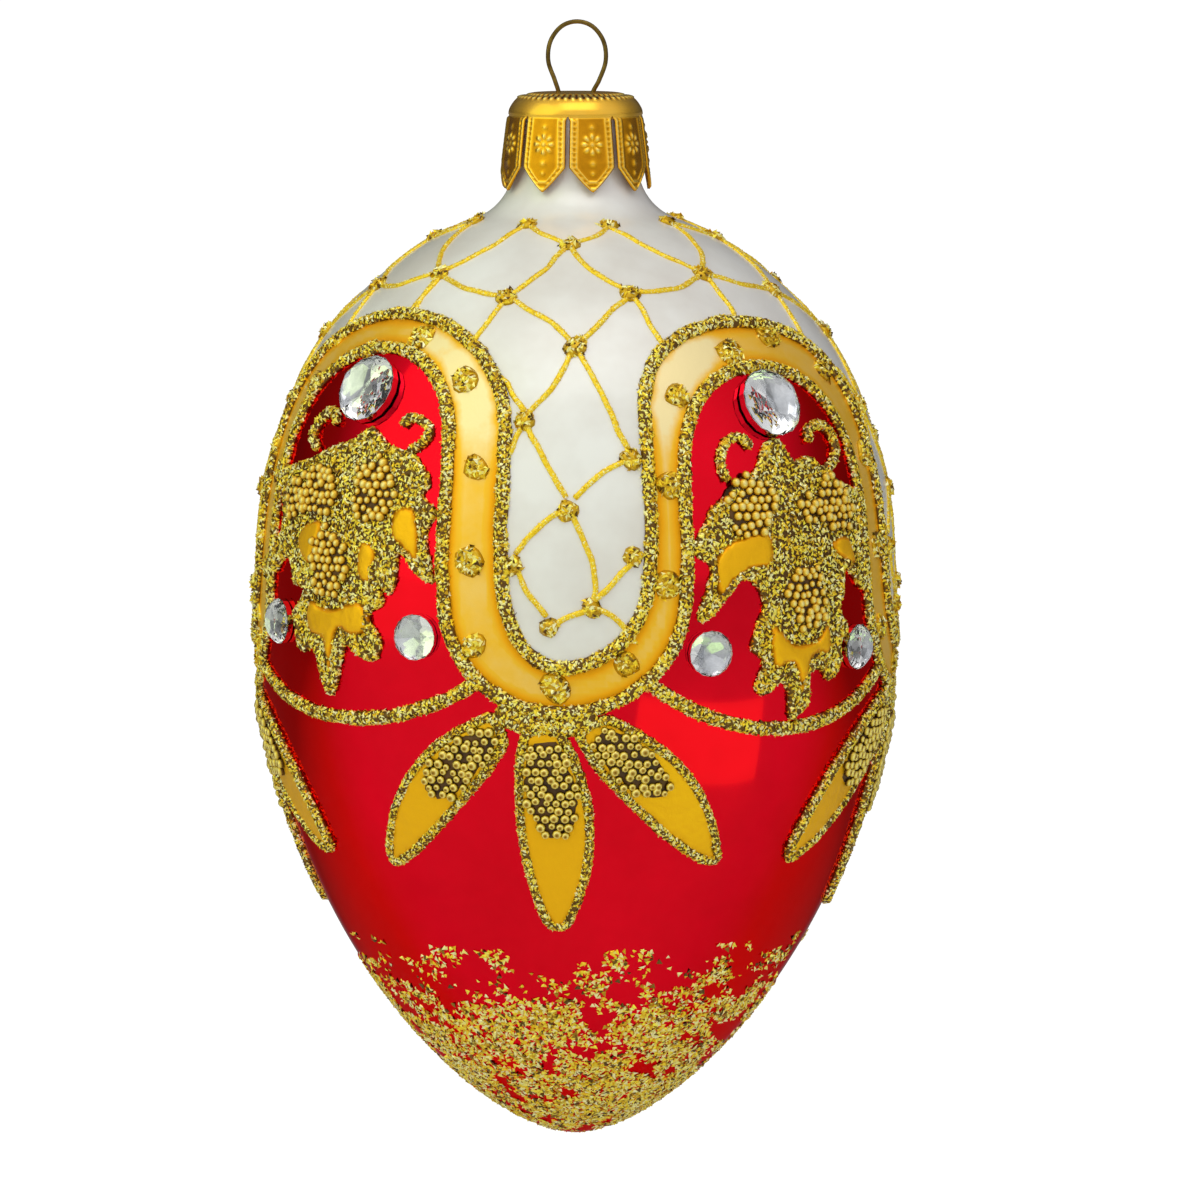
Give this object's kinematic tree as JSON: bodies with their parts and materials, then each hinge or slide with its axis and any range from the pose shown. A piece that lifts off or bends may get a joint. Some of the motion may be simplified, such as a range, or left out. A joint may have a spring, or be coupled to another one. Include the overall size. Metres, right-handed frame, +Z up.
{
  "type": "jewelled glass egg ornament",
  "caption": "Hollow blown-glass egg ornament with crimson panels, white ground, gold glitter relief, set crystals, a crown cap and a wire loop to hang it by.",
  "frame": {"origin": "inner top of the wire loop, where the hook or cord that carries the ornament bears", "axes": "+Z up along the egg's axis; the side with the white valley between two crimson panels faces -Y; +X to the right seen from -Y"},
  "size_m": [0.08, 0.08, 0.1365],
  "materials": {
    "painted_glass": "blown glass, silvered inside, with crimson candy lacquer, pearl white ground and a gold painted band",
    "cap_metal": "thin stamped metal with a polished gold finish and embossed petals",
    "hanger_wire": "dull brass spring wire",
    "clear_crystal": "clear faceted crystal on a silver foil back",
    "gold_glitter": "gold glitter in raised glue, in lines, knots and beads",
    "gold_paint": "raised gold paint edged with glitter"
  },
  "bodies": {
    "root": {"glass_egg": "painted_glass", "crown_cap": "cap_metal", "wire_hanger": "hanger_wire", "upper_border": "gold_glitter", "lower_border": "gold_glitter", "large_crystal_1": "clear_crystal", "small_crystal_1_left": "clear_crystal", "small_crystal_1_right": "clear_crystal", "spray_1": "gold_glitter", "large_crystal_2": "clear_crystal", "small_crystal_2_left": "clear_crystal", "small_crystal_2_right": "clear_crystal", "spray_2": "gold_glitter", "large_crystal_3": "clear_crystal", "small_crystal_3_left": "clear_crystal", "small_crystal_3_right": "clear_crystal", "spray_3": "gold_glitter", "large_crystal_4": "clear_crystal", "small_crystal_4_left": "clear_crystal", "small_crystal_4_right": "clear_crystal", "spray_4": "gold_glitter", "leaf_1_left": "gold_paint", "leaf_1_centre": "gold_paint", "leaf_1_right": "gold_paint", "leaf_2_left": "gold_paint", "leaf_2_centre": "gold_paint", "leaf_2_right": "gold_paint", "leaf_3_left": "gold_paint", "leaf_3_centre": "gold_paint", "leaf_3_right": "gold_paint", "leaf_4_left": "gold_paint", "leaf_4_centre": "gold_paint", "leaf_4_right": "gold_paint"}
  },
  "joints": []
}
